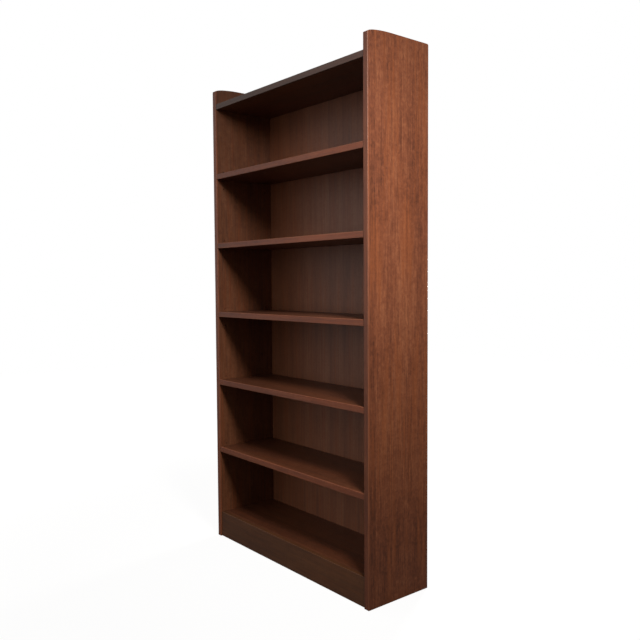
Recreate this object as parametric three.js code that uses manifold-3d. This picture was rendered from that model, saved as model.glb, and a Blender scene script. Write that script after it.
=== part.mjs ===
// A tall open bookcase with five adjustable shelves, in teak veneered board.
//
// Two side panels carry a fixed top board and a fixed bottom board on dowels. The sides rise above
// the top board, with their front top corners eased in a long quarter ellipse. A plinth closes the
// foot, a thin veneered back lies in rebates in the sides, and each loose shelf rests on four pins.
// Solid lippings cover the front edges of the sides, the top board and the shelves.
//
// Units are millimetres. X runs along the width, Y from the front to the back and Z up. The origin
// is on the floor, in the middle of the width and the depth.

import * as THREE from 'three';
import { mergeVertices } from 'three/addons/utils/BufferGeometryUtils.js';
import Module from 'manifold-3d';

const wasm = await Module();
wasm.setup();

// ---- driving dimensions ----

const caseWidth = 1000;
const caseDepth = 300;
const caseHeight = 2000;

const panelThickness = 23;
const boardThickness = 23;
const boardSetback = 2;
const lippingDepth = 8;

const sideRise = 71;
const cornerRun = 120;
const cornerDrop = 17;
const rearCornerRadius = 6;

const plinthHeight = 111;
const plinthThickness = 18;
const plinthSetback = 5;
const plinthFloorGap = 1.5;
const glueBlockWidth = 22;
const glueBlockFloorGap = 8;

const backThickness = 5;
const backInset = 1;
const rebateWidth = 12;

const shelfCount = 5;
const holeStep = 38;
const spareHoles = 1;
const holeRowInset = 37;
const holeRowDrop = 3;

const pinRadius = 2.5;
const pinDepth = 10;
const pinHeadRadius = 3.5;
const pinHeadLength = 7;
const pinChamfer = 0.8;

const dowelRadius = 4;
const dowelInPanel = 13;
const dowelInBoard = 24;
const dowelChamfer = 1;
const dowelInset = 55;

const screwRadius = 1.75;
const screwHeadRadius = 3.5;
const screwHeadHeight = 2.2;
const screwTipLength = 4;
const screwLength = 25;
const screwRowEnd = 60;
const screwsInBoard = 3;
const screwsInPanel = 2;

// ---- clearances ----

const glueGap = 0.3;
const looseFit = 0.3;
const shelfEndClearance = 1.5;
const shelfRearClearance = 2;
const backEdgeGap = 0.5;
const holeBottomGap = 1;
const overcut = 2;

// ---- faceting of the curved surfaces ----

const roundSides = 10;
const frontCornerSteps = 14;
const rearCornerSteps = 3;

// ---- places worked out from the driving dimensions ----

const front = -caseDepth / 2;
const rear = caseDepth / 2;
const innerHalfWidth = caseWidth / 2 - panelThickness;
const backRear = rear - backInset;
const backFront = backRear - backThickness;
const topBoardTop = caseHeight - sideRise;
const topBoardUnder = topBoardTop - boardThickness;
const bottomBoardUnder = plinthHeight - boardThickness;
const plinthFront = front + plinthSetback;
const plinthRear = plinthFront + plinthThickness;
const boardFront = front + boardSetback;
const boardBehindLipping = boardFront + lippingDepth + glueGap;
const boardRear = backFront - glueGap;
const boardHalfWidth = innerHalfWidth - glueGap;

// The shelves stand a whole number of hole steps apart, as near to even spacing as the steps give.
const innerHeight = topBoardUnder - plinthHeight;
const evenPitch = (innerHeight + boardThickness) / (shelfCount + 1);
const shelfPitch = Math.round(evenPitch / holeStep) * holeStep;
const shelfStackHeight = (shelfCount - 1) * shelfPitch + boardThickness;
const lowestShelfUnder = plinthHeight + (innerHeight - shelfStackHeight) / 2 - holeRowDrop;
const shelfUnders = Array.from({ length: shelfCount }, (_, index) => lowestShelfUnder + index * shelfPitch);
const pinDrop = pinHeadRadius + looseFit;

const sides = { left: -1, right: 1 };
const holeRows = { front: front + holeRowInset, rear: backFront - holeRowInset };
const dowelRows = { front: front + dowelInset, rear: boardRear - dowelInset };
const dowelHeights = { top: topBoardTop - boardThickness / 2, bottom: plinthHeight - boardThickness / 2 };

// ---- finishes ----

const finishes = {
  teakVeneer: { color: 0x7c4a30, roughness: 0.5, metalness: 0 },
  solidTeak: { color: 0x8f6049, roughness: 0.5, metalness: 0 },
  backVeneer: { color: 0x5b3626, roughness: 0.55, metalness: 0 },
  brass: { color: 0xb08d57, roughness: 0.35, metalness: 1 },
  beech: { color: 0xc9a878, roughness: 0.7, metalness: 0 },
  pine: { color: 0xc6a273, roughness: 0.75, metalness: 0 },
  steel: { color: 0xa6a8a6, roughness: 0.4, metalness: 1 },
};

function piece(name, geometry, finish) {
  const mesh = new THREE.Mesh(geometry, new THREE.MeshStandardMaterial(finishes[finish]));
  mesh.name = name;
  return mesh;
}

// ---- cutting ----

function toSolid(geometry) {
  const bare = geometry.clone();
  bare.deleteAttribute('normal');
  bare.deleteAttribute('uv');
  const merged = mergeVertices(bare);
  const vertProperties = new Float32Array(merged.attributes.position.array);
  const triVerts = new Uint32Array(merged.index.array);
  return new wasm.Manifold(new wasm.Mesh({ numProp: 3, vertProperties, triVerts }));
}

function cut(geometry, cutters) {
  let solid = toSolid(geometry);
  for (const cutter of cutters) {
    solid = solid.subtract(toSolid(cutter));
  }
  const mesh = solid.getMesh();
  const result = new THREE.BufferGeometry();
  result.setAttribute('position', new THREE.BufferAttribute(mesh.vertProperties, 3));
  result.setIndex(new THREE.BufferAttribute(mesh.triVerts, 1));
  result.computeVertexNormals();
  return result;
}

// ---- basic shapes ----

// A box between its lowest and its highest corner.
function block(low, high) {
  const size = high.map((value, axis) => value - low[axis]);
  const centre = high.map((value, axis) => (value + low[axis]) / 2);
  return new THREE.BoxGeometry(...size).translate(...centre);
}

// A turned solid along +X from pairs of distance along the axis and radius.
function turned(profile) {
  const points = profile.map(([along, radius]) => new THREE.Vector2(radius, along));
  return new THREE.LatheGeometry(points, roundSides).rotateZ(-Math.PI / 2);
}

// The facets of a hole have their flats, not their corners, at the radius.
function turnedCutter(profile) {
  const cornerReach = 1 / Math.cos(Math.PI / roundSides);
  return turned(profile.map(([along, radius]) => [along, radius * cornerReach]));
}

// A blind round hole that runs to +X from its mouth at the origin.
function blindHole(radius, depth) {
  return turnedCutter([[-overcut, 0], [-overcut, radius], [depth, radius], [depth, 0]]);
}

// ---- dowels ----

function dowelGeometry() {
  const length = dowelInPanel + dowelInBoard;
  return turned([
    [0, 0],
    [0, dowelRadius - dowelChamfer],
    [dowelChamfer, dowelRadius],
    [length - dowelChamfer, dowelRadius],
    [length, dowelRadius - dowelChamfer],
    [length, 0],
  ]);
}

function dowelHole(depth) {
  return blindHole(dowelRadius + looseFit, depth + holeBottomGap);
}

function makeDowels() {
  const dowels = new THREE.Group();
  for (const [sideName, side] of Object.entries(sides)) {
    for (const [boardName, height] of Object.entries(dowelHeights)) {
      for (const [rowName, depth] of Object.entries(dowelRows)) {
        const dowel = piece(`${boardName}_dowel_${rowName}_${sideName}`, dowelGeometry(), 'beech');
        dowel.position.set(side * (innerHalfWidth + dowelInPanel), depth, height);
        dowel.rotation.z = side > 0 ? Math.PI : 0;
        dowels.add(dowel);
      }
    }
  }
  return dowels;
}

// ---- screws that hold the back ----

// A countersunk screw along +Y with its tip at the origin.
function screwGeometry() {
  return turned([
    [0, 0],
    [screwTipLength, screwRadius],
    [screwLength - screwHeadHeight, screwRadius],
    [screwLength, screwHeadRadius],
    [screwLength, 0],
  ]).rotateZ(Math.PI / 2);
}

// The hole that a screw fills, open past its head.
function screwHole() {
  return turnedCutter([
    [-looseFit, 0],
    [screwTipLength, screwRadius + looseFit],
    [screwLength - screwHeadHeight, screwRadius + looseFit],
    [screwLength, screwHeadRadius + looseFit],
    [screwLength + overcut, screwHeadRadius + looseFit],
    [screwLength + overcut, 0],
  ]).rotateZ(Math.PI / 2);
}

const screwTip = backRear - screwLength;
const screwColumn = innerHalfWidth + rebateWidth / 2;

// Places spread evenly from one end of a row to the other, both ends used.
function spread(low, high, count) {
  return Array.from({ length: count }, (_, index) => low + ((high - low) * index) / (count - 1));
}

const screwColumns = spread(-innerHalfWidth + screwRowEnd, innerHalfWidth - screwRowEnd, screwsInBoard);
const panelScrewHeights = spread(bottomBoardUnder, topBoardTop, screwsInPanel + 2).slice(1, -1);

function screwPlaces() {
  const places = {};
  for (const [boardName, height] of Object.entries(dowelHeights)) {
    screwColumns.forEach((across, index) => {
      places[`back_screw_${boardName}_${index + 1}`] = [across, screwTip, height];
    });
  }
  for (const [sideName, side] of Object.entries(sides)) {
    panelScrewHeights.forEach((height, index) => {
      places[`back_screw_${sideName}_${index + 1}`] = [side * screwColumn, screwTip, height];
    });
  }
  return places;
}

function makeScrews() {
  const screws = new THREE.Group();
  for (const [name, place] of Object.entries(screwPlaces())) {
    const screw = piece(name, screwGeometry(), 'steel');
    screw.position.set(...place);
    screws.add(screw);
  }
  return screws;
}

// ---- side panels and their lippings ----

// Height of the side's top edge at a depth: a quarter ellipse over the front corner, then level.
function topEdgeHeight(depth) {
  const left = Math.max(0, 1 - (depth - front) / cornerRun);
  return caseHeight - cornerDrop * (1 - Math.sqrt(1 - left * left));
}

// The side seen from the side, between two depths, as points of depth and height.
function sideOutline(from, to) {
  const outline = [[from, 0], [to, 0]];
  if (to === rear) {
    for (let step = 0; step <= rearCornerSteps; step += 1) {
      const turn = (step / rearCornerSteps) * (Math.PI / 2);
      const depth = rear - rearCornerRadius * (1 - Math.cos(turn));
      outline.push([depth, caseHeight - rearCornerRadius * (1 - Math.sin(turn))]);
    }
  }
  const cornerEnd = Math.min(to, front + cornerRun);
  for (let step = 0; step <= frontCornerSteps; step += 1) {
    const depth = from + (cornerEnd - from) * (1 - Math.sin((step / frontCornerSteps) * (Math.PI / 2)));
    outline.push([depth, topEdgeHeight(depth)]);
  }
  return outline;
}

// The outline given the panel's thickness, outwards from the inner face at x = 0.
function sideSlab(side, from, to) {
  const corners = sideOutline(from, to).map(([depth, height]) => new THREE.Vector2(depth, height));
  const shape = new THREE.Shape(corners);
  const slab = new THREE.ExtrudeGeometry(shape, { depth: panelThickness, bevelEnabled: false });
  const depthAxis = new THREE.Vector3(0, 1, 0);
  const heightAxis = new THREE.Vector3(0, 0, 1);
  const widthAxis = new THREE.Vector3(1, 0, 0);
  slab.applyMatrix4(new THREE.Matrix4().makeBasis(depthAxis, heightAxis, widthAxis));
  return slab.translate(side > 0 ? 0 : -panelThickness, 0, 0);
}

function panelHoles(side) {
  const holes = [];
  const drill = (hole, depth, height) => {
    holes.push(hole.rotateZ(side > 0 ? 0 : Math.PI).translate(0, depth, height));
  };
  for (const depth of Object.values(holeRows)) {
    for (const under of shelfUnders) {
      for (let spare = -spareHoles; spare <= spareHoles; spare += 1) {
        const hole = blindHole(pinRadius + looseFit, pinDepth + holeBottomGap);
        drill(hole, depth, under - pinDrop + spare * holeStep);
      }
    }
  }
  for (const depth of Object.values(dowelRows)) {
    for (const height of Object.values(dowelHeights)) {
      drill(dowelHole(dowelInPanel), depth, height);
    }
  }
  return holes;
}

// The rebate runs up the rear inner corner to the top board, and takes the edge of the back.
function panelRebate(side) {
  const low = [side > 0 ? -overcut : -rebateWidth, boardRear, -overcut];
  const high = [side > 0 ? rebateWidth : overcut, rear + overcut, topBoardTop + backEdgeGap];
  return block(low, high);
}

function makeSide(sideName, side) {
  const group = new THREE.Group();
  const cutters = [...panelHoles(side), panelRebate(side)];
  for (const height of panelScrewHeights) {
    cutters.push(screwHole().translate(side * (screwColumn - innerHalfWidth), screwTip, height));
  }
  const lippingRear = front + lippingDepth;
  const panel = cut(sideSlab(side, lippingRear + glueGap, rear), cutters);
  group.add(piece(`${sideName}_side_panel`, panel, 'teakVeneer'));
  group.add(piece(`${sideName}_side_lipping`, sideSlab(side, front, lippingRear), 'solidTeak'));
  group.position.x = side * innerHalfWidth;
  return group;
}

// ---- fixed boards, plinth and back ----

// Holes in a fixed board, whose underside is at z = 0, for its dowels and for the back's screws.
function fixedBoardHoles() {
  const middle = boardThickness / 2;
  const holes = [];
  for (const side of Object.values(sides)) {
    for (const depth of Object.values(dowelRows)) {
      const hole = dowelHole(dowelInBoard).rotateZ(side > 0 ? Math.PI : 0);
      holes.push(hole.translate(side * innerHalfWidth, depth, middle));
    }
  }
  for (const across of screwColumns) {
    holes.push(screwHole().translate(across, screwTip, middle));
  }
  return holes;
}

function lippingGeometry(halfWidth) {
  return block([-halfWidth, boardFront, 0], [halfWidth, boardFront + lippingDepth, boardThickness]);
}

function makeTopBoard() {
  const group = new THREE.Group();
  const board = block([-boardHalfWidth, boardBehindLipping, 0], [boardHalfWidth, boardRear, boardThickness]);
  group.add(piece('top_board', cut(board, fixedBoardHoles()), 'teakVeneer'));
  group.add(piece('top_board_lipping', lippingGeometry(boardHalfWidth), 'solidTeak'));
  group.position.z = topBoardUnder;
  return group;
}

function makeBottomBoard() {
  const low = [-boardHalfWidth, plinthRear + glueGap, 0];
  const board = block(low, [boardHalfWidth, boardRear, boardThickness]);
  const mesh = piece('bottom_board', cut(board, fixedBoardHoles()), 'teakVeneer');
  mesh.position.z = bottomBoardUnder;
  return mesh;
}

function makePlinth() {
  const low = [-boardHalfWidth, plinthFront, plinthFloorGap];
  return piece('plinth', block(low, [boardHalfWidth, plinthRear, plinthHeight]), 'teakVeneer');
}

function makeGlueBlock(sideName, side) {
  const height = bottomBoardUnder - glueGap - glueBlockFloorGap;
  const post = new THREE.BoxGeometry(glueBlockWidth, glueBlockWidth, height);
  const mesh = piece(`glue_block_${sideName}`, post, 'pine');
  mesh.position.set(
    side * (boardHalfWidth - glueBlockWidth / 2),
    plinthRear + glueGap + glueBlockWidth / 2,
    glueBlockFloorGap + height / 2,
  );
  return mesh;
}

function makeBack() {
  const halfWidth = innerHalfWidth + rebateWidth - backEdgeGap;
  const sheet = block([-halfWidth, backFront, bottomBoardUnder], [halfWidth, backRear, topBoardTop]);
  const holes = Object.values(screwPlaces()).map((place) => screwHole().translate(...place));
  return piece('back_panel', cut(sheet, holes), 'backVeneer');
}

// ---- shelves and their pins ----

// The shelf's underside is at z = 0 of its group.
function makeShelf(number, under) {
  const group = new THREE.Group();
  const halfWidth = innerHalfWidth - shelfEndClearance;
  const shelfRear = backFront - shelfRearClearance;
  const board = block([-halfWidth, boardBehindLipping, 0], [halfWidth, shelfRear, boardThickness]);
  group.add(piece(`shelf_${number}`, board, 'teakVeneer'));
  group.add(piece(`shelf_${number}_lipping`, lippingGeometry(halfWidth), 'solidTeak'));
  group.position.z = under;
  return group;
}

// A pin along +X: its shank fills the hole behind the panel's face, and its head carries the shelf.
function pinGeometry() {
  return turned([
    [-pinDepth, 0],
    [-pinDepth, pinRadius - pinChamfer],
    [-pinDepth + pinChamfer, pinRadius],
    [looseFit, pinRadius],
    [looseFit, pinHeadRadius],
    [pinHeadLength - pinChamfer, pinHeadRadius],
    [pinHeadLength, pinHeadRadius - pinChamfer],
    [pinHeadLength, 0],
  ]);
}

function makePins(number, under) {
  const pins = new THREE.Group();
  for (const [rowName, depth] of Object.entries(holeRows)) {
    for (const [sideName, side] of Object.entries(sides)) {
      const pin = piece(`shelf_${number}_pin_${rowName}_${sideName}`, pinGeometry(), 'brass');
      pin.position.set(side * innerHalfWidth, depth, 0);
      pin.rotation.z = side > 0 ? Math.PI : 0;
      pins.add(pin);
    }
  }
  pins.position.z = under - pinDrop;
  return pins;
}

// ---- the bookcase ----

const bookcase = new THREE.Group();
for (const [sideName, side] of Object.entries(sides)) {
  bookcase.add(makeSide(sideName, side));
  bookcase.add(makeGlueBlock(sideName, side));
}
bookcase.add(makeTopBoard(), makeBottomBoard(), makePlinth(), makeBack());
bookcase.add(makeDowels(), makeScrews());
shelfUnders.forEach((under, index) => {
  bookcase.add(makeShelf(index + 1, under), makePins(index + 1, under));
});

export default bookcase;
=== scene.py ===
import math

import bpy
import numpy as np
from mathutils import Matrix, Vector
from mathutils.geometry import tessellate_polygon


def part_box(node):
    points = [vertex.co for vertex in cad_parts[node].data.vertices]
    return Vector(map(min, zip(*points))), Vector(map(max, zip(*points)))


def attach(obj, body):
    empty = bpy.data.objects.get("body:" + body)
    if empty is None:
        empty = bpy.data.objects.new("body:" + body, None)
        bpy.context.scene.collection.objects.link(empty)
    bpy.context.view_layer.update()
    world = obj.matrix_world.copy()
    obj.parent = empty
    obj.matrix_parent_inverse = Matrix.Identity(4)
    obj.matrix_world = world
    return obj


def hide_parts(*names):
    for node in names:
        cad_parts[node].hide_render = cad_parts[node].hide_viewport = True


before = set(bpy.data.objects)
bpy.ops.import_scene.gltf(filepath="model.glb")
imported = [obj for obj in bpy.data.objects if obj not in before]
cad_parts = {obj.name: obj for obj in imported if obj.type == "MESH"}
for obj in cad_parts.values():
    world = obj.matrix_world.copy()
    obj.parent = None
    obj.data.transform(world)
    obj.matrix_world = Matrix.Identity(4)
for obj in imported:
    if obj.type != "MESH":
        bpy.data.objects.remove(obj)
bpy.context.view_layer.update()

# A tall open bookcase with adjustable shelves, in oiled teak veneer on board. The sections follow
# the order of assembly: sides, side lippings, fixed boards, plinth, back, shelves, pins, dowels and
# screws, and last the studio. Lengths are in metres; X is the width, Y runs back and Z is up.

# ---------------------------------------------------------------------------------------------
# Side panels. Each is a 23 mm board faced with leaves of teak veneer, their grain standing. The
# front top corner is a long quarter ellipse, a rebate along the rear takes the back panel, and
# blind holes for the shelf pins are bored in the inner face. The panels stand on the floor.
# ---------------------------------------------------------------------------------------------

VENEER_EASE = 0.0006
SAWN_EASE = 0.0003
GLUE_EASE = 0.00008
CORNER_RUN = 0.120
CORNER_DROP = 0.017
REAR_ROUND = 0.006
REBATE_WIDTH = 0.012
REBATE_TOP_GAP = 0.0005
HOLE_STEP = 0.038
HOLE_RADIUS = 0.0027
HOLE_DEPTH = 0.0108
HOLE_SOFTENING = 0.0003
HOLE_SIDES = 24
SIDE_FIGURE = (0.4, 0.6, 0.3, 0.5, 0.4, 0.2)


def linear(hex_colour):
    """An sRGB hex colour as linear red, green, blue and alpha."""
    parts = np.array([int(hex_colour[i : i + 2], 16) for i in (1, 3, 5)]) / 255
    light = np.where(parts <= 0.04045, parts / 12.92, ((parts + 0.055) / 1.055) ** 2.4)
    return (*light.tolist(), 1.0)


def add(tree, kind, inputs=(), stops=(), **settings):
    """Adds a node. Settings are its properties, stops are a ramp's positions and colours from low
    to high, and each input gets either a value or the output that feeds it."""
    made = tree.nodes.new(kind)
    for name, value in settings.items():
        setattr(made, name, value)
    for key, value in dict(inputs).items():
        if isinstance(value, bpy.types.NodeSocket):
            tree.links.new(value, made.inputs[key])
        else:
            made.inputs[key].default_value = value
    for index, (position, colour) in enumerate(stops):
        if index > 1:
            made.color_ramp.elements.new(position)
        made.color_ramp.elements[index].position = position
        made.color_ramp.elements[index].color = linear(colour)
    return made


def arc(centre, radii, start, end, steps, ease, wear=0.0):
    """An ellipse's arc, centre + radii · (cos t, sin t), as rows of point, outward normal, ease and
    wear. The normal is (cos t / first radius, sin t / second radius) made one long, and wear rises
    from nought at the arc's ends to the given value in its middle, as sin does."""
    turn = np.linspace(start, end, steps + 1)
    wave = np.column_stack([np.cos(turn), np.sin(turn)])
    normals = wave / np.array(radii)
    normals /= np.linalg.norm(normals, axis=1, keepdims=True)
    rubbed = wear * np.sin(np.linspace(0, math.pi, steps + 1))
    soft = np.full(steps + 1, ease)
    return np.column_stack([np.array(centre) + wave * np.array(radii), normals, soft, rubbed])


def box_outline(low, high, radii, eases, steps=4):
    """A rectangle with quarter-arc corners, going round against the clock from the low corner by
    the high first axis. Each corner has its own radius and its own ease."""
    corners = []
    for index, (radius, ease) in enumerate(zip(radii, eases)):
        first = high[0] - radius if index in (1, 2) else low[0] + radius
        second = high[1] - radius if index in (2, 3) else low[1] + radius
        start = math.pi + index * math.pi / 2
        corners.append(arc((first, second), (radius, radius), start, start + math.pi / 2, steps, ease, 1))
    return np.concatenate(corners)


def band(first, rows, count):
    """The quads between neighbouring rings of a grid whose rows are closed rings of count points."""
    row, step = np.meshgrid(np.arange(rows - 1), np.arange(count), indexing="ij")
    start = first + (row * count + step).ravel()
    after = first + (row * count + (step + 1) % count).ravel()
    return np.column_stack([start, after, after + count, start + count])


def skin(name, rings, facing, wear, axes, sunk=(), sunk_end=1):
    """A closed surface: quads join each ring of points to the next, and a flat cap closes the first
    and the last ring. Facing holds each point's exact normal. Each hollow in sunk is a centre, a
    rim of unit points and normals, and a profile of scale, depth and slope, cut in the cap at
    sunk_end; its normal is (1 − slope) · rim normal + slope · cap normal. Points that coincide are
    welded and what collapses is dropped, so a corner stays sharp where two normals meet."""
    count = rings.shape[1]
    places, normals, rubbed = [rings.reshape(-1, 3)], [facing.reshape(-1, 3)], [wear.ravel()]
    quads = [band(0, len(rings), count)]
    total = len(places[0])
    caps = {-1: [np.arange(count)[::-1]], 1: [np.arange(count) + total - count]}
    for centre, rim, profile in sunk:
        scale, depth, slope = np.array(profile, float).T[:, :, None]
        hollow = np.empty((len(profile), len(rim), 3))
        hollow[..., :2] = np.array(centre) + rim[:, :2] * scale[..., None]
        hollow[..., 2] = rings[-1 if sunk_end > 0 else 0, 0, 2] - sunk_end * depth
        inward = np.empty_like(hollow)
        inward[..., :2] = rim[:, 2:4] * (1 - slope)[..., None]
        inward[..., 2] = sunk_end * slope
        places.append(hollow.reshape(-1, 3))
        normals.append(inward.reshape(-1, 3))
        rubbed.append(np.zeros(hollow.size // 3))
        walls = band(total, len(profile), len(rim))
        quads.append(walls if sunk_end > 0 else walls[:, ::-1])
        caps[sunk_end].append(total + np.arange(len(rim)))
        total += len(places[-1])
        caps["floor", total] = [total - len(rim) + np.arange(len(rim))]
    places, normals, rubbed = np.concatenate(places), np.concatenate(normals), np.concatenate(rubbed)
    welded, which = np.unique(np.round(places, 7), axis=0, return_inverse=True)
    which = which.ravel()

    quads = np.concatenate(quads)
    corners = [quads[:, [0, 1, 2]], quads[:, [0, 2, 3]]]
    for end, loops in caps.items():
        up = end if end in (-1, 1) else sunk_end
        loops = [loop[which[loop] != which[np.roll(loop, 1)]] for loop in loops]
        if min(len(loop) for loop in loops) < 3:
            continue
        cut = tessellate_polygon([[Vector(place) for place in places[loop].tolist()] for loop in loops])
        flat = np.concatenate(loops)[np.array(cut)]
        side_a = places[flat[:, 1]] - places[flat[:, 0]]
        side_b = places[flat[:, 2]] - places[flat[:, 0]]
        reverse = (side_a[:, 0] * side_b[:, 1] - side_a[:, 1] * side_b[:, 0]) * up < 0
        flat[reverse] = flat[reverse][:, ::-1]
        corners.append(flat)
    corners = np.concatenate(corners)
    tied = which[corners]
    whole = (tied[:, 0] != tied[:, 1]) & (tied[:, 1] != tied[:, 2]) & (tied[:, 2] != tied[:, 0])
    corners, tied = corners[whole], tied[whole]

    order = [axes.index(axis) for axis in "XYZ"]
    mesh = bpy.data.meshes.new(name)
    mesh.from_pydata(welded[:, order].tolist(), [], tied.tolist())
    mesh.polygons.foreach_set("use_smooth", np.ones(len(tied), bool))
    normals /= np.linalg.norm(normals, axis=1, keepdims=True)
    mesh.normals_split_custom_set(normals[corners.ravel()][:, order].tolist())
    arris = mesh.attributes.new("arris", "FLOAT", "CORNER")
    arris.data.foreach_set("value", rubbed[corners.ravel()].astype(np.float32))
    made = bpy.data.objects.new(name, mesh)
    bpy.context.scene.collection.objects.link(made)
    return made


def prism(name, outlines, stations, axes, sunk=(), sunk_end=1, steps=4):
    """An outline carried along the third of the axes from the first station to the last. Near each
    end the ring steps in along the outline's own normals by ease · (1 − cos t) while it moves on by
    ease · sin t, a quarter circle of that radius. With two outlines the first runs to the middle
    station, where a flat ledge leads to the second."""
    quarter = np.linspace(math.pi / 2, 0, steps + 1)
    rings, facing, wear = [], [], []
    for end, outline in ((-1, outlines[0]), (1, outlines[-1])):
        turn = (quarter if end < 0 else quarter[::-1])[:, None]
        points, normals, ease, rub = outline[:, :2], outline[:, 2:4], outline[:, 4], outline[:, 5]
        ring = np.empty((steps + 1, len(outline), 3))
        ring[..., :2] = points - normals * (ease * (1 - np.cos(turn)))[..., None]
        ring[..., 2] = stations[0 if end < 0 else -1] - end * ease * (1 - np.sin(turn))
        face = np.empty_like(ring)
        face[..., :2] = normals * np.cos(turn)[..., None]
        face[..., 2] = end * np.sin(turn)
        rings.append(ring)
        facing.append(face)
        wear.append(np.maximum(rub * np.cos(turn), np.sin(2 * turn)))
    if len(outlines) == 2:
        ledge = np.full((2, len(outlines[0]), 3), stations[1])
        ledge[..., :2] = [outline[:, :2] for outline in outlines]
        up = np.zeros_like(ledge)
        up[..., 2] = 1 if np.ptp(outlines[0][:, 4]) < np.ptp(outlines[1][:, 4]) else -1
        out = np.zeros_like(ledge)
        out[..., :2] = [outline[:, 2:4] for outline in outlines]
        rings[1:1] = [ledge[:1], ledge, ledge[1:]]
        facing[1:1] = [out[:1], up, out[1:]]
        wear[1:1] = [np.zeros((4, len(outlines[0])))]
    return skin(name, np.concatenate(rings), np.concatenate(facing), np.concatenate(wear), axes,
                sunk, sunk_end)


def fit(piece, materials, body, slot, *nodes):
    """Gives a piece its materials and its body, and hides the CAD nodes it is. The slot is not used."""
    for material in materials:
        piece.data.materials.append(material)
    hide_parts(*nodes)
    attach(piece, body)


def give_second(piece, towards, above):
    """Gives the second material to the faces that look within 45 degrees of a direction and lie
    above a height."""
    faces = piece.data.polygons
    looks, middles = np.empty(len(faces) * 3), np.empty(len(faces) * 3)
    faces.foreach_get("normal", looks)
    faces.foreach_get("center", middles)
    chosen = (looks.reshape(-1, 3) @ np.array(towards) > 0.7) & (middles[2::3] > above)
    faces.foreach_set("material_index", chosen.astype(np.int32))


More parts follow.
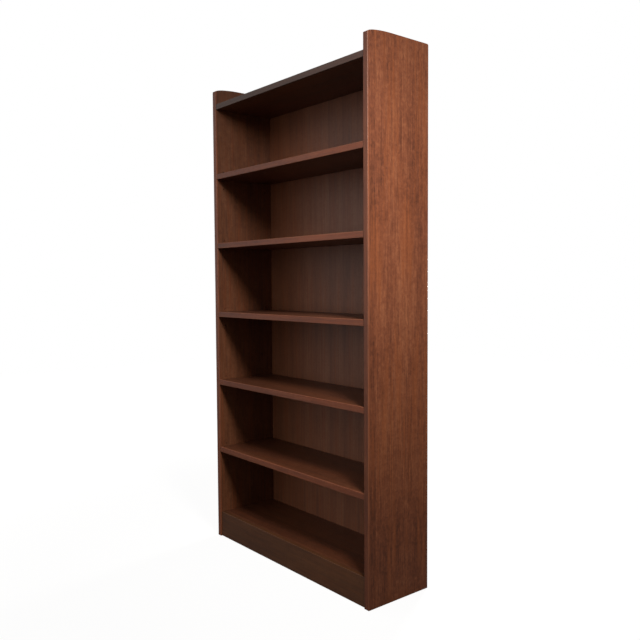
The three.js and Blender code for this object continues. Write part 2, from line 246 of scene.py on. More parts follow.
def teak(name, along, across, leaf, tones, seed, weights=SIDE_FIGURE, sheen=0.42):
    """Teak under a thin coat of oil. Veneer lies in leaves of one width, book-matched, each with a
    tone of its own; solid teak is one wide leaf. Soft growth bands and fine streaks run along the
    grain, a mottle and a ripple break them up, the tone drifts slowly over the whole board, some
    streaks are warmer or stained, and dark open pores dash it. The oil gives a satin sheen, duller
    in the pores. Arrises are rubbed lighter. The tones are dark, middle and light wood, pores,
    rubbed arris and warm streaks. The weights are the shares of bands, streaks, mottle, ripple,
    drifts and the leaf's own tone."""
    material = bpy.data.materials.new(name)
    material.use_nodes = True
    tree = material.node_tree
    shader = tree.nodes["Principled BSDF"]
    coords = add(tree, "ShaderNodeTexCoord").outputs["Object"]
    split = add(tree, "ShaderNodeSeparateXYZ", {0: coords}).outputs
    through = ({"X", "Y", "Z"} - {along, across}).pop()
    wrapped = add(tree, "ShaderNodeMath", {0: split[across], 1: split[through]}, operation="ADD")
    place = add(tree, "ShaderNodeMath", {0: wrapped.outputs[0], 1: 20 * leaf}, operation="ADD")
    number = add(tree, "ShaderNodeMath", {0: place.outputs[0], 1: leaf}, operation="DIVIDE")
    number = add(tree, "ShaderNodeMath", {0: number.outputs[0]}, operation="FLOOR")
    number = add(tree, "ShaderNodeMath", {0: number.outputs[0], 1: seed}, operation="ADD")
    lot = add(tree, "ShaderNodeTexWhiteNoise", {"W": number.outputs[0]}, noise_dimensions="1D")
    lots = add(tree, "ShaderNodeSeparateColor", {0: lot.outputs["Color"]}).outputs
    matched = add(tree, "ShaderNodeMath", {0: place.outputs[0], 1: leaf}, operation="PINGPONG")
    slip = add(tree, "ShaderNodeMath", {0: lots[0], 1: 0.25, 2: split[along]}, operation="MULTIPLY_ADD")
    flitch = add(tree, "ShaderNodeCombineXYZ", {0: matched.outputs[0], 1: slip.outputs[0], 2: seed})
    board = add(tree, "ShaderNodeCombineXYZ", {0: wrapped.outputs[0], 1: split[along], 2: seed})

    def figure(source, width, length, detail, warp=0.0):
        """Noise whose soft cells are width across the grain and length along it."""
        scaled = add(tree, "ShaderNodeVectorMath",
                     {0: source.outputs[0], 1: (1 / width, 1 / length, 7.0)}, operation="MULTIPLY")
        noise = add(tree, "ShaderNodeTexNoise",
                    {"Vector": scaled.outputs[0], "Scale": 1.0, "Detail": detail, "Distortion": warp})
        return noise.outputs["Fac"]

    # The sizes are across and along the grain: growth bands 10 mm by 450 mm, streaks 3 mm by
    # 100 mm, mottle 22 mm by 40 mm and ripple 11 mm by 15 mm. Real pores are 0.2 mm by 3 mm; they
    # are drawn 1 mm by 14 mm so that they show.
    bands = figure(flitch, 0.010, 0.45, 2.0, 0.4)
    streaks = figure(flitch, 0.003, 0.10, 2.0)
    mottle = figure(flitch, 0.022, 0.040, 2.0)
    ripple = figure(flitch, 0.011, 0.015, 2.0, 0.8)
    drifts = figure(board, 0.13, 0.40, 1.5)
    warmth = figure(flitch, 0.014, 0.50, 2.0, 0.3)
    stains = figure(board, 0.009, 0.22, 2.0, 0.5)
    pores = figure(flitch, 0.0010, 0.014, 1.0)
    tone = 0.5 - 0.5 * sum(weights)
    for part, weight in zip((bands, streaks, mottle, ripple, drifts, lots[1]), weights):
        tone = add(tree, "ShaderNodeMath", {0: part, 1: weight, 2: tone},
                   operation="MULTIPLY_ADD").outputs[0]
    colour = add(tree, "ShaderNodeValToRGB", {0: tone},
                 stops=[(0.2, tones[0]), (0.5, tones[1]), (0.8, tones[2])]).outputs[0]
    # Each layer tints the wood from nought at its first value to its most at its second. A joint
    # between leaves is a fine dark line that fades out 1.2 mm away from it.
    open_grain = add(tree, "ShaderNodeMapRange", {0: pores, 1: 0.58, 2: 0.72, 3: 0.0, 4: 1.0})
    arris = add(tree, "ShaderNodeAttribute", attribute_name="arris").outputs["Fac"]
    for part, none_at, full_at, most, tint in ((warmth, 0.48, 0.70, 0.45, tones[5]),
                                               (stains, 0.56, 0.72, 0.45, tones[0]),
                                               (pores, 0.58, 0.72, 0.40, tones[3]),
                                               (matched.outputs[0], 0.0012, 0.0003, 0.35, tones[3]),
                                               (arris, 0.0, 1.0, 0.30, tones[4])):
        amount = add(tree, "ShaderNodeMapRange", {0: part, 1: none_at, 2: full_at, 3: 0.0, 4: most})
        colour = add(tree, "ShaderNodeMix", {0: amount.outputs[0], 6: colour, 7: linear(tint)},
                     data_type="RGBA").outputs[2]
    tree.links.new(colour, shader.inputs["Base Color"])
    # Streaks make the sheen uneven by 0.07 either way, and open pores are 0.2 duller.
    gloss = add(tree, "ShaderNodeMath", {0: streaks, 1: 0.14, 2: sheen - 0.07},
                operation="MULTIPLY_ADD")
    gloss = add(tree, "ShaderNodeMath", {0: open_grain.outputs[0], 1: 0.2, 2: gloss.outputs[0]},
                operation="MULTIPLY_ADD")
    tree.links.new(gloss.outputs[0], shader.inputs["Roughness"])
    relief = add(tree, "ShaderNodeMath", {0: open_grain.outputs[0], 1: -1.0, 2: streaks},
                 operation="MULTIPLY_ADD")
    bump = add(tree, "ShaderNodeBump",
               {"Height": relief.outputs[0], "Strength": 0.3, "Distance": 0.0002})
    tree.links.new(bump.outputs[0], shader.inputs["Normal"])
    return material


def side_outline(low, high, front, notch, stop, rebated):
    """A side between two depths, seen from its left. Small arcs soften the foot, the ellipse
    runs over the front top corner, and a quarter arc rounds the rear top corner. When rebated, the
    rear steps in to the notch's depth below the stop's height; else the same points lie on the
    straight rear edge, so that the two outlines match point for point."""
    tiny, tight = SAWN_EASE, GLUE_EASE
    soft = 0.9 * tiny
    rear = high[0]
    heel = notch if rebated else rear
    foot = arc((low[0] + tight, low[1] + tight), (tight, tight), math.pi, 1.5 * math.pi, 2, tight)
    seam = np.array([[notch - tiny, low[1], 0, -1, soft, 0]])
    turn = arc((heel - tiny, low[1] + tiny), (tiny, tiny), -math.pi / 2, 0, 2, soft)
    ease, under = (0.0, (0, -1)) if rebated else (VENEER_EASE, (1, 0))
    step = np.array([[heel, stop, 1, 0, ease, 0], [heel, stop, *under, ease, 0],
                     [rear, stop, *under, ease, 0], [rear, stop, 1, 0, ease, 0]])
    round_off = arc((rear - REAR_ROUND, high[1] - REAR_ROUND), (REAR_ROUND, REAR_ROUND), 0,
                    math.pi / 2, 8, VENEER_EASE)
    corner = (front + CORNER_RUN, high[1] - CORNER_DROP)
    reach = math.pi - math.acos((corner[0] - low[0] - tight) / CORNER_RUN)
    curve = arc(corner, (CORNER_RUN, CORNER_DROP), math.pi / 2, reach, 40, VENEER_EASE)
    slant = math.atan2(curve[-1, 3], curve[-1, 2])
    join = arc(curve[-1, :2] - tight * curve[-1, 2:4], (tight, tight), slant, math.pi, 2, tight)
    return np.concatenate([foot, seam, turn, step, round_off, curve, join[1:]])


# Oiled teak, sliced thin and pressed on board: a warm red-brown satin with fine dark pores. The left side
# is given a darker copy of it, painted shade. The upper edges are banded with the same veneer.
TEAK = ("#502a1a", "#7a432a", "#965b3b", "#33190f", "#a06a48", "#914d26")
SHADED_TEAK = ("#48281a", "#633921", "#76482e", "#2c170d", "#8f6145", "#7a3b1a")
standing_veneer = teak("oiled_teak_veneer_standing", "Z", "Y", 0.077, TEAK, seed=95.0)
shaded_veneer = teak("oiled_teak_veneer_standing_shaded", "Z", "Y", 0.077, SHADED_TEAK, seed=4.0)
edge_veneer = teak("oiled_teak_veneer_edging", "Y", "X", 0.5, TEAK, seed=9.0)
around = np.arange(HOLE_SIDES) / HOLE_SIDES * 2 * math.pi
circle = np.column_stack([np.cos(around), np.sin(around)])
round_rim = np.column_stack([circle, -circle])
bore = [(HOLE_RADIUS + HOLE_SOFTENING, 0, 1), (HOLE_RADIUS, HOLE_SOFTENING, 0),
        (HOLE_RADIUS, HOLE_DEPTH, 0), (HOLE_RADIUS, HOLE_DEPTH, 1)]
front_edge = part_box("left_side_lipping")[0].y
rebate_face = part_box("top_board")[1].y
rebate_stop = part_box("back_panel")[1].z + REBATE_TOP_GAP

# The left side takes the darker copy of the veneer, painted shade.
for side, inner_end, veneer in (("left", 1, shaded_veneer), ("right", -1, standing_veneer)):
    low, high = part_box(f"{side}_side_panel")
    bored = []
    for pin in (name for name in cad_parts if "_pin_" in name and name.endswith(side)):
        middle = sum(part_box(pin), Vector((0, 0, 0))) / 2
        bored += [((middle.y, middle.z + spare * HOLE_STEP), round_rim, bore) for spare in (-1, 0, 1)]
    pair = [side_outline((low.y, low.z), (high.y, high.z), front_edge, rebate_face, rebate_stop, rebated)
            for rebated in (False, True)]
    step_at = high.x - REBATE_WIDTH if inner_end > 0 else low.x + REBATE_WIDTH
    panel = prism(f"teak_{side}_side", pair[::inner_end], (low.x, step_at, high.x), "YZX",
                  bored, inner_end)
    fit(panel, (veneer, edge_veneer), "case", "teak_veneer", f"{side}_side_panel")
    give_second(panel, (0, 0, 1), rebate_stop + CORNER_DROP)

# ---------------------------------------------------------------------------------------------
# Side lippings. Strips of solid teak 8 mm deep, glued to the front edge of each side before the
# top corner is cut, so that they carry the foot of the ellipse. Their front arrises are rounded
# by hand and rubbed a little paler than the faces.
# ---------------------------------------------------------------------------------------------

LIPPING_EASE = 0.0024
LIPPING_FOOT = 0.001
SHIN_HEIGHT = 0.008
NOSE_STEPS = 14


def lipping_outline(low, high, front):
    """The side lipping seen from its left: the straight front, the part of the ellipse that it
    carries, and the glue line down its rear. The arris is full on the front and fades over the
    ellipse to meet the veneer's own."""
    tight, round_foot = GLUE_EASE, LIPPING_FOOT
    corner = (front + CORNER_RUN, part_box("left_side_panel")[1].z - CORNER_DROP)
    foot = arc((low[0] + round_foot, low[1] + round_foot), (round_foot, round_foot), math.pi,
               1.5 * math.pi, 3, 0.9 * round_foot)
    heel = arc((high[0] - tight, low[1] + tight), (tight, tight), -math.pi / 2, 0, 2, tight)
    start = math.pi - math.acos((corner[0] - high[0] + tight) / CORNER_RUN)
    curve = arc(corner, (CORNER_RUN, CORNER_DROP), start, math.pi, NOSE_STEPS, 0.0)
    growth = np.linspace(0, 1, NOSE_STEPS + 1) ** 0.6
    curve[:, 4] = VENEER_EASE + (LIPPING_EASE - VENEER_EASE) * growth
    slant = math.atan2(curve[0, 3], curve[0, 2])
    nape = arc(curve[0, :2] - tight * curve[0, 2:4], (tight, tight), 0, slant, 2, tight)
    shin = np.array([[low[0], low[1] + SHIN_HEIGHT, -1, 0, LIPPING_EASE, 0]])
    return np.concatenate([foot, heel, nape[:-1], curve, shin])


# Solid teak, planed and oiled: straighter in figure and duller than the veneer. It shows no leaves, so
# one leaf is made wider than any strip. The sides of the strips match the veneer beside them; the left
# front is in the lipping tone, and the right front is in a darker copy of it, painted shade.
ONE_LEAF = 0.5
LIPPING_SHEEN = 0.5
EDGE_TEAK = ("#61321f", "#793f25", "#905030", "#3f2215", "#a56b47", "#8d4522")
SHADED_EDGE_TEAK = ("#50281a", "#69361f", "#7d4629", "#381c12", "#94603f", "#7c3d1e")
STRIP_FIGURE = (0.5, 0.6, 0.3, 0.1, 0.5, 0.0)
strip_teak = teak("solid_teak_lipping", "Z", "X", ONE_LEAF, TEAK, 5.0, STRIP_FIGURE, LIPPING_SHEEN)
pale_front = teak("solid_teak_lipping_pale", "Z", "X", ONE_LEAF, EDGE_TEAK, 6.0, STRIP_FIGURE,
                  LIPPING_SHEEN)
shaded_front = teak("solid_teak_lipping_shaded", "Z", "X", ONE_LEAF, SHADED_EDGE_TEAK, 7.0,
                     STRIP_FIGURE, LIPPING_SHEEN)
for side, front_teak in (("left", pale_front), ("right", shaded_front)):
    low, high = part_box(f"{side}_side_lipping")
    outline = lipping_outline((low.y, low.z), (high.y, high.z), front_edge)
    strip = prism(f"teak_{side}_side_lipping", (outline,), (low.x, high.x), "YZX")
    fit(strip, (strip_teak, front_teak), "case", "solid_teak", f"{side}_side_lipping")
    give_second(strip, (0, -1, 0), 0.0)

# ---------------------------------------------------------------------------------------------
# Fixed boards. The top board sits below the tops of the sides and makes a shallow tray; the
# bottom board stands behind the plinth. Both are 23 mm veneered board, doweled and glued between
# the sides, with the grain across the width.
# ---------------------------------------------------------------------------------------------

# The same oiled veneer, laid flat, in a deeper, quieter brown than the sides: a darker copy that is
# painted shade.
BOARD_TEAK = ("#452516", "#5f341f", "#70432b", "#2a150c", "#865840", "#6c3619")
shaded_lying_veneer = teak("oiled_teak_veneer_lying_shaded", "X", "Y", 0.097, BOARD_TEAK, seed=6.0)
for node in ("top_board", "bottom_board"):
    low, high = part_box(node)
    outline = box_outline((low.y, low.z), (high.y, high.z), (VENEER_EASE,) * 4, (SAWN_EASE,) * 4, 3)
    board = prism(f"teak_{node}", (outline,), (low.x, high.x), "YZX")
    fit(board, (shaded_lying_veneer,), "case", "teak_veneer", node)

# ---------------------------------------------------------------------------------------------
# Top board lipping. A strip of solid teak along the front of the top board, planed flush above and below,
# its front arrises softened. It is greyer and darker than the shelf edges, a painted sheen and painted
# shade.
# ---------------------------------------------------------------------------------------------

SHELF_EASE = 0.0016
CUT_EASE = 0.00025
# Solid teak in grey-brown tones with little red, and a dull sheen. The dark tones are painted shade and
# the grey is a painted sheen.
GREY_TEAK = ("#3f2a23", "#4f352b", "#5d3f32", "#2f2019", "#7a5a49", "#583827")
shade_and_sheen_lipping = teak("solid_teak_lipping_shade_and_sheen", "X", "Z", ONE_LEAF, GREY_TEAK, 12.0,
                    (0.5, 0.6, 0.3, 0.1, 0.6, 0.0), LIPPING_SHEEN)


def lipping(name, node, material, body):
    """A strip whose section is a rectangle with round front corners, carried across the width."""
    low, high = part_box(node)
    radii = (SHELF_EASE, SAWN_EASE, SAWN_EASE, SHELF_EASE)
    eases = (VENEER_EASE, CUT_EASE, CUT_EASE, VENEER_EASE)
    outline = box_outline((low.y, low.z), (high.y, high.z), radii, eases, 5)
    strip = prism(name, (outline,), (low.x, high.x), "YZX")
    fit(strip, (material,), body, "solid_teak", node)


lipping("teak_top_board_lipping", "top_board_lipping", shade_and_sheen_lipping, "case")

# ---------------------------------------------------------------------------------------------
# Plinth. A veneered board 18 mm thick across the foot of the front, set 5 mm behind the side
# lippings and flush with the top of the bottom board. Its top front arris is rounded and rubbed.
# ---------------------------------------------------------------------------------------------

PLINTH_EASE = 0.0012
# Oiled veneer near the floor, with a long straight grain, in darker tones that are painted shade.
PLINTH_TEAK = ("#41220f", "#583217", "#6b4022", "#2a160b", "#80593a", "#633414")
plinth_veneer = teak("oiled_teak_veneer_plinth", "X", "Z", ONE_LEAF, PLINTH_TEAK, 15.0,
                     (0.6, 0.6, 0.3, 0.1, 0.6, 0.0), LIPPING_SHEEN)
low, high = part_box("plinth")
outline = box_outline((low.y, low.z), (high.y, high.z), (SAWN_EASE,) * 3 + (PLINTH_EASE,),
                      (CUT_EASE,) * 3 + (2 * CUT_EASE,), 4)
plinth = prism("teak_plinth", (outline,), (low.x, high.x), "YZX")
fit(plinth, (plinth_veneer,), "case", "teak_veneer", "plinth")

# ---------------------------------------------------------------------------------------------
# Glue blocks. Two square blocks of sawn pine, rubbed into the corners behind the plinth and under
# the bottom board with glue. They hold the plinth square to the sides.
# ---------------------------------------------------------------------------------------------

BLOCK_EASE = 0.0009


def plain_wood(name, tones, along, ring, roughness, seed):
    """Plain wood: growth lines along the grain, soft cloudy tone and fine fibres. Planed or sawn, it
    has no coat, so it is dull. Diagonal bands of scale 0.314 / ring come every 2 · ring along an
    axis, which is √2 · ring square to the lines. Clouds are 17 mm wide, and fibres are drawn 1.1 mm
    wide so that they show."""
    material = bpy.data.materials.new(name)
    material.use_nodes = True
    tree = material.node_tree
    shader = tree.nodes["Principled BSDF"]
    coords = add(tree, "ShaderNodeTexCoord").outputs["Object"]
    stretch = tuple(0.05 if axis == along else 1.0 for axis in "XYZ")
    place = add(tree, "ShaderNodeMapping",
                {"Vector": coords, "Location": (seed, seed, seed), "Scale": stretch}).outputs[0]
    rings = add(tree, "ShaderNodeTexWave",
                {"Vector": place, "Scale": 0.314 / ring, "Distortion": 3.0, "Detail": 2.0,
                 "Detail Scale": 1.0}, bands_direction="DIAGONAL")
    fibres = add(tree, "ShaderNodeTexNoise", {"Vector": place, "Scale": 900.0, "Detail": 2.0})
    cloud = add(tree, "ShaderNodeTexNoise", {"Vector": place, "Scale": 60.0, "Detail": 2.0})
    tone = 0.02
    for part, weight in ((rings, 0.45), (fibres, 0.35), (cloud, 0.3)):
        tone = add(tree, "ShaderNodeMath", {0: part.outputs["Fac"], 1: weight, 2: tone},
                   operation="MULTIPLY_ADD").outputs[0]
    colour = add(tree, "ShaderNodeValToRGB", {0: tone},
                 stops=[(0.25, tones[0]), (0.5, tones[1]), (0.8, tones[2])])
    tree.links.new(colour.outputs[0], shader.inputs["Base Color"])
    rough = add(tree, "ShaderNodeMath", {0: fibres.outputs["Fac"], 1: 0.2, 2: roughness - 0.1},
                operation="MULTIPLY_ADD")
    tree.links.new(rough.outputs[0], shader.inputs["Roughness"])
    bump = add(tree, "ShaderNodeBump",
               {"Height": fibres.outputs["Fac"], "Strength": 0.5, "Distance": 0.0004})
    tree.links.new(bump.outputs[0], shader.inputs["Normal"])
    return material


# Rough sawn pine: pale yellow, matt, with soft growth lines 6 mm apart.
pine = plain_wood("sawn_pine", ("#b98c56", "#d9b380", "#e8cb9c"), "Z", 0.004, 0.72, 1.7)
for side in ("left", "right"):
    low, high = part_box(f"glue_block_{side}")
    outline = box_outline((low.x, low.y), (high.x, high.y), (BLOCK_EASE,) * 4, (BLOCK_EASE * 0.9,) * 4, 3)
    block = prism(f"pine_glue_block_{side}", (outline,), (low.z, high.z), "XYZ")
    fit(block, (pine,), "case", "pine", f"glue_block_{side}")

# ---------------------------------------------------------------------------------------------
# Back panel. Plywood 5 mm thick, faced with narrow leaves of teak veneer with standing grain. It
# lies in the rebates of the sides and is screwed through countersunk holes to sides and boards.
# ---------------------------------------------------------------------------------------------

SINK_RADIUS = 0.0037
SINK_DEPTH = 0.0021
# Thin oiled veneer on plywood: lighter than the boards, in narrow leaves that show as stripes.
BACK_TEAK = ("#6e412a", "#895438", "#a0694a", "#412417", "#8f6650", "#9a522c")
back_veneer = teak("oiled_teak_back_veneer", "Z", "X", 0.045, BACK_TEAK, seed=21.0,
                   weights=(0.45, 0.3, 0.15, 0.15, 0.5, 0.2), sheen=0.44)
low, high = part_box("back_panel")
sink = [(SINK_RADIUS, 0, 1), (SINK_RADIUS, 0, 0.5), (SINK_RADIUS - SINK_DEPTH, SINK_DEPTH, 0.5),
        (SINK_RADIUS - SINK_DEPTH, SINK_DEPTH, 1)]
screws = sorted(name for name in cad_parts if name.startswith("back_screw_"))
seats = []
for name in screws:
    middle = sum(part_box(name), Vector((0, 0, 0))) / 2
    seats.append(((middle.z, middle.x), round_rim, sink))
outline = box_outline((low.z, low.x), (high.z, high.x), (SAWN_EASE,) * 4, (CUT_EASE,) * 4, 2)
back = prism("teak_back_panel", (outline,), (low.y, high.y), "ZXY", seats, 1)
fit(back, (back_veneer,), "case", "back_veneer", "back_panel")

# ---------------------------------------------------------------------------------------------
# Shelves. Five loose veneered boards 23 mm thick, a little short of the space between the sides,
# each with a solid teak lipping on its front edge. They lie on pins and draw out to the front.
# ---------------------------------------------------------------------------------------------

# Solid teak with the grain along the shelf, as pale as the left side's front.
lying_lipping = teak("solid_teak_lipping_lying", "X", "Z", ONE_LEAF, EDGE_TEAK, 27.0,
                     (0.5, 0.6, 0.3, 0.1, 0.7, 0.0), LIPPING_SHEEN)
shelves = sorted(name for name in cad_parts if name.startswith("shelf_") and name[-1].isdigit())
for node in shelves:
    low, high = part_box(node)
    outline = box_outline((low.y, low.z), (high.y, high.z), (VENEER_EASE,) * 4, (SAWN_EASE,) * 4, 3)
    shelf = prism(f"teak_{node}", (outline,), (low.x, high.x), "YZX")
    fit(shelf, (shaded_lying_veneer,), f"loose_{node}", "teak_veneer", node)
    lipping(f"teak_{node}_lipping", f"{node}_lipping", lying_lipping, f"loose_{node}")

# ---------------------------------------------------------------------------------------------
# Shelf pins. Twenty turned brass pins, four to a shelf, pushed into the bored holes. Each has a
# thick round head with a softened rim that the shelf rests on, and a chamfered tail.
# ---------------------------------------------------------------------------------------------

PIN_RADIUS = 0.0025
PIN_HEAD = 0.007
PIN_CHAMFER = 0.0008
HALF = math.sqrt(0.5)


def metal(name, tones, roughness, lines, seed):
    """Bare or plated metal: cloudy patches 2.4 mm wide change its tone and its gloss a little, and
    fine tool marks, drawn coarser than the real ones, catch the light. Lines holds how many marks
    there are to a metre along each axis."""
    material = bpy.data.materials.new(name)
    material.use_nodes = True
    tree = material.node_tree
    shader = tree.nodes["Principled BSDF"]
    shader.inputs["Metallic"].default_value = 1.0
    coords = add(tree, "ShaderNodeTexCoord").outputs["Object"]
    place = add(tree, "ShaderNodeMapping",
                {"Vector": coords, "Location": (seed, seed, seed), "Scale": lines}).outputs[0]
    cloud = add(tree, "ShaderNodeTexNoise", {"Vector": coords, "Scale": 420.0, "Detail": 3.0})
    marks = add(tree, "ShaderNodeTexNoise", {"Vector": place, "Scale": 1.0, "Detail": 2.0})
    colour = add(tree, "ShaderNodeValToRGB", {0: cloud.outputs["Fac"]},
                 stops=[(0.3, tones[0]), (0.5, tones[1]), (0.7, tones[2])])
    tree.links.new(colour.outputs[0], shader.inputs["Base Color"])
    gloss = add(tree, "ShaderNodeMath", {0: cloud.outputs["Fac"], 1: 0.25, 2: roughness - 0.12},
                operation="MULTIPLY_ADD")
    tree.links.new(gloss.outputs[0], shader.inputs["Roughness"])
    bump = add(tree, "ShaderNodeBump",
               {"Height": marks.outputs["Fac"], "Strength": 0.25, "Distance": 0.0001})
    tree.links.new(bump.outputs[0], shader.inputs["Normal"])
    return material


def turned(name, profile, centre, start, sign, axes, sunk=()):
    """A profile of length, radius and normal turned about an axis: each ring is centre + radius ·
    (cos t, sin t), at start + sign · length. With sign −1 it points the other way."""
    profile = profile[::sign]
    rings = np.empty((len(profile), HOLE_SIDES, 3))
    rings[..., :2] = np.array(centre) + profile[:, 1, None, None] * circle
    rings[..., 2] = (start + sign * profile[:, 0])[:, None]
    facing = np.empty_like(rings)
    facing[..., :2] = profile[:, 3, None, None] * circle
    facing[..., 2] = (sign * profile[:, 2])[:, None]
    return skin(name, rings, facing, np.repeat(profile[:, 5:6], HOLE_SIDES, axis=1), axes, sunk)


# Brass in dark brown tones, painted shade, so that the pins don't shine out of the shadow.
brass = metal("turned_brass_painted_dark", ("#5a431f", "#775b30", "#917444"), 0.42, (5000.0, 90.0, 90.0), 0.4)
for pin in sorted(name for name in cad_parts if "_pin_" in name):
    low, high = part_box(pin)
    middle = (low + high) / 2
    radius, length = (high.z - low.z) / 2, high.x - low.x
    neck, soft, edge = length - PIN_HEAD, PIN_CHAMFER / 2, PIN_RADIUS - PIN_CHAMFER
    rim = radius - PIN_CHAMFER
    profile = np.concatenate([
        [[0, 0, -1, 0, 0, 0], [0, edge, -1, 0, 0, 0], [0, edge, -HALF, HALF, 0, 0]],
        [[PIN_CHAMFER, PIN_RADIUS, -HALF, HALF, 0, 0], [PIN_CHAMFER, PIN_RADIUS, 0, 1, 0, 0]],
        [[neck, PIN_RADIUS, 0, 1, 0, 0], [neck, PIN_RADIUS, -1, 0, 0, 0]],
        arc((neck + soft, radius - soft), (soft, soft), math.pi, math.pi / 2, 4, 0, 1),
        arc((length - PIN_CHAMFER, rim), (PIN_CHAMFER, PIN_CHAMFER), math.pi / 2, 0, 6, 0, 1),
        [[length, 0, 1, 0, 0, 0]],
    ])
    tail, sign = (low.x, 1) if pin.endswith("left") else (high.x, -1)
    made = turned(f"brass_{pin}", profile, (middle.y, middle.z), tail, sign, "YZX")
    fit(made, (brass,), "case", "brass", pin)

# ---------------------------------------------------------------------------------------------
# Dowels. Eight beech dowels glued into the ends of the fixed boards and into the sides. They are
# shut inside the joints, so their plain shape stays as it is and only the wood is given.
# ---------------------------------------------------------------------------------------------

# Planed beech: pale pinkish brown and matt, with close growth lines 2 mm apart.
beech = plain_wood("planed_beech", ("#b98a62", "#d0a47b", "#dfbb96"), "X", 0.0015, 0.55, 2.9)
for node in sorted(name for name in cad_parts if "_dowel_" in name):
    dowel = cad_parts[node]
    dowel.data.materials.clear()
    dowel.data.materials.append(beech)

# ---------------------------------------------------------------------------------------------
# Back screws. Ten countersunk screws of zinc-plated steel, 25 mm long, their heads flush with the
# rear of the back panel. A cross recess is sunk in each head.
# ---------------------------------------------------------------------------------------------

SCREW_RADIUS = 0.00175
SCREW_POINT = 0.004
PLAIN_SHANK = 0.006
HEAD_RIM = 0.0002
THREAD_DEPTH = 0.00035
THREAD_STEP = 0.0012
CROSS_REACH = 0.0021
CROSS_WIDTH = 0.00032
CROSS_DEPTH = 0.0013
CROSS_TAPER = 0.45

# Zinc plating: light grey and bright, slightly cloudy.
zinc = metal("zinc_plated_steel", ("#8f9296", "#aeb1b4", "#c6c8c9"), 0.36, (160.0, 160.0, 160.0), 0.9)
arm = CROSS_WIDTH / CROSS_REACH
quarter_cross = np.array([[1, -arm, -1, 0], [1, arm, -1, 0], [1, arm, 0, -1], [arm, arm, 0, -1],
                          [arm, arm, -1, 0], [arm, 1, -1, 0]])
spins = [np.array([[math.cos(turn), math.sin(turn)], [-math.sin(turn), math.cos(turn)]])
         for turn in np.arange(4) * math.pi / 2]
cross_rim = np.concatenate([np.hstack([quarter_cross[:, :2] @ spin, quarter_cross[:, 2:] @ spin])
                            for spin in spins])
recess = [(CROSS_REACH, 0, 1), (CROSS_REACH, 0, 0.2),
          (CROSS_REACH * CROSS_TAPER, CROSS_DEPTH, 0.2), (CROSS_REACH * CROSS_TAPER, CROSS_DEPTH, 1)]
for node in screws:
    low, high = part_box(node)
    middle = (low + high) / 2
    length, head = high.y - low.y, (high.z - low.z) / 2
    crests = np.arange(SCREW_POINT, length - PLAIN_SHANK, THREAD_STEP)
    thread = np.zeros((2 * len(crests), 6))
    thread[:, 0] = np.repeat(crests, 2) + np.tile([0, THREAD_STEP / 2], len(crests))
    thread[:, 1] = np.tile([SCREW_RADIUS, SCREW_RADIUS - THREAD_DEPTH], len(crests))
    thread[:, 3] = 1
    cone, rim, face = length - (head - SCREW_RADIUS), length - HEAD_RIM, head - HEAD_RIM / 2
    profile = np.concatenate([
        [[0, 0, -0.4, 0.92, 0, 0]], thread, [[cone, SCREW_RADIUS, -HALF, HALF, 0, 0]],
        [[rim, head, -HALF, HALF, 0, 0], [rim, head, 0, 1, 0, 0]],
        [[length, face, HALF, HALF, 0, 1], [length, face, 1, 0, 0, 0]],
    ])
    screw = turned(f"zinc_{node}", profile, (middle.z, middle.x), low.y, 1, "ZXY",
                   [((middle.z, middle.x), cross_rim, recess)])
    fit(screw, (zinc,), "case", "zinc_steel", node)

# ---------------------------------------------------------------------------------------------
# Studio. A pale floor and white surroundings, a soft key lamp high on the right, window light from
# the front left, and a lamp that lights the back. The camera stands off the right front corner.
# ---------------------------------------------------------------------------------------------

scene = bpy.context.scene
scene.view_settings.view_transform = "Standard"

# The room is white to look at. The light it gives comes from a window wall to the front left: with
# the cosine of the angle from that side, it grows from the room's own light at the edge value to
# full light at 1, as a square.
WINDOW_SIDE = Vector((-0.55, -0.80, 0.12)).normalized()
WINDOW_EDGE = -0.4
WINDOW_LIGHT = 0.64
ROOM_LIGHT = 0.12
world = bpy.data.worlds.new("pale_room")
world.use_nodes = True
scene.world = world
tree = world.node_tree
way = add(tree, "ShaderNodeTexCoord").outputs["Generated"]
turned_to = add(tree, "ShaderNodeVectorMath", {0: way, 1: WINDOW_SIDE}, operation="DOT_PRODUCT")
near = add(tree, "ShaderNodeMapRange",
           {0: turned_to.outputs["Value"], 1: WINDOW_EDGE, 2: 1.0, 3: 0.0, 4: 1.0})
glow = add(tree, "ShaderNodeMath", {0: near.outputs[0], 1: 2.0}, operation="POWER")
glow = add(tree, "ShaderNodeMath", {0: glow.outputs[0], 1: WINDOW_LIGHT, 2: ROOM_LIGHT},
           operation="MULTIPLY_ADD")
seen = add(tree, "ShaderNodeLightPath").outputs["Is Camera Ray"]
level = add(tree, "ShaderNodeMath", {0: seen, 1: glow.outputs[0]}, operation="MAXIMUM")
tree.links.new(level.outputs[0], tree.nodes["Background"].inputs["Strength"])
tree.nodes["Background"].inputs["Color"].default_value = (1.0, 1.0, 1.0, 1.0)

FLOOR_REACH = 7.0
GLOW_FADE_START, GLOW_FADE_END, NEAR_GLOW = 0.8, 3.0, 0.92
mesh = bpy.data.meshes.new("studio_floor")
grid = np.array([[-1, -1, 0], [1, -1, 0], [1, 1, 0], [-1, 1, 0]]) * FLOOR_REACH
mesh.from_pydata(grid.tolist(), [], [[0, 1, 2, 3]])
floor = bpy.data.objects.new("studio_floor", mesh)
scene.collection.objects.link(floor)
pale = bpy.data.materials.new("floor_paint_glowing_for_camera")
pale.use_nodes = True
tree = pale.node_tree
shader = tree.nodes["Principled BSDF"]
shader.inputs["Base Color"].default_value = linear("#5c5a58")
shader.inputs["Roughness"].default_value = 0.9
shader.inputs["Emission Color"].default_value = (1.0, 1.0, 1.0, 1.0)
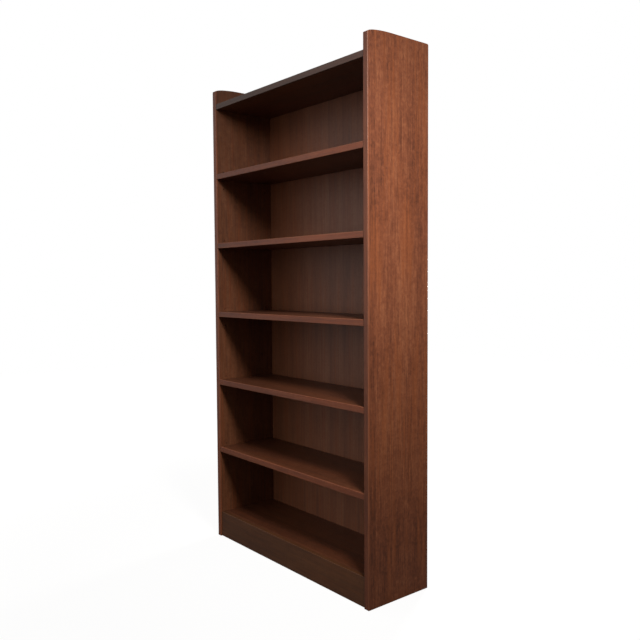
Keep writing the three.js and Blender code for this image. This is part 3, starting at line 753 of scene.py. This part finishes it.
# The paint is dark grey; the camera alone sees it glow white. The glow is a little weaker within 3 m of
# the object, painted shade round it, and farther out the floor is lost in the white room.
place = add(tree, "ShaderNodeTexCoord").outputs["Object"]
reach = add(tree, "ShaderNodeVectorMath", {0: place}, operation="LENGTH")
fade = add(tree, "ShaderNodeMapRange",
           {0: reach.outputs["Value"], 1: GLOW_FADE_START, 2: GLOW_FADE_END, 3: NEAR_GLOW, 4: 1.0},
           interpolation_type="SMOOTHSTEP")
seen = add(tree, "ShaderNodeLightPath").outputs["Is Camera Ray"]
lift = add(tree, "ShaderNodeMath", {0: seen, 1: fade.outputs[0]}, operation="MULTIPLY")
tree.links.new(lift.outputs[0], shader.inputs["Emission Strength"])
mesh.materials.append(pale)


def lamp(name, place, aim, size, power, spread=math.pi):
    """A round soft lamp at a place, turned to shine at a point."""
    light = bpy.data.lights.new(name, "AREA")
    light.shape = "DISK"
    light.size = size
    light.energy = power
    light.spread = spread
    made = bpy.data.objects.new(name, light)
    made.location = place
    made.rotation_euler = (Vector(aim) - Vector(place)).to_track_quat("-Z", "Y").to_euler()
    scene.collection.objects.link(made)


lamp("key_lamp", (1.78, -0.69, 2.21), (0.3, 0.0, 1.1), 0.48, 11.6, math.radians(90))
lamp("rear_lamp", (-0.9, 2.6, 1.1), (0.1, 0.15, 1.0), 0.6, 14.0, math.radians(90))

EYE = (2.2891, -1.8242, 1.1474)
TURN = math.radians(50.7358)
DIP = math.radians(3.0403)
ROLL = math.radians(-0.3397)
back_axis = Vector((math.sin(TURN) * math.cos(DIP), -math.cos(TURN) * math.cos(DIP), math.sin(DIP)))
right_axis = Vector((math.cos(TURN), math.sin(TURN), 0))
up_axis = back_axis.cross(right_axis)
level_right = right_axis * math.cos(ROLL) + up_axis * math.sin(ROLL)
level_up = up_axis * math.cos(ROLL) - right_axis * math.sin(ROLL)
lens = bpy.data.cameras.new("camera")
lens.sensor_width = 36.0
lens.lens = 40.391
camera = bpy.data.objects.new("camera", lens)
camera.matrix_world = Matrix((level_right, level_up, back_axis)).transposed().to_4x4()
camera.location = EYE
scene.collection.objects.link(camera)
scene.camera = camera

bpy.context.view_layer.update()
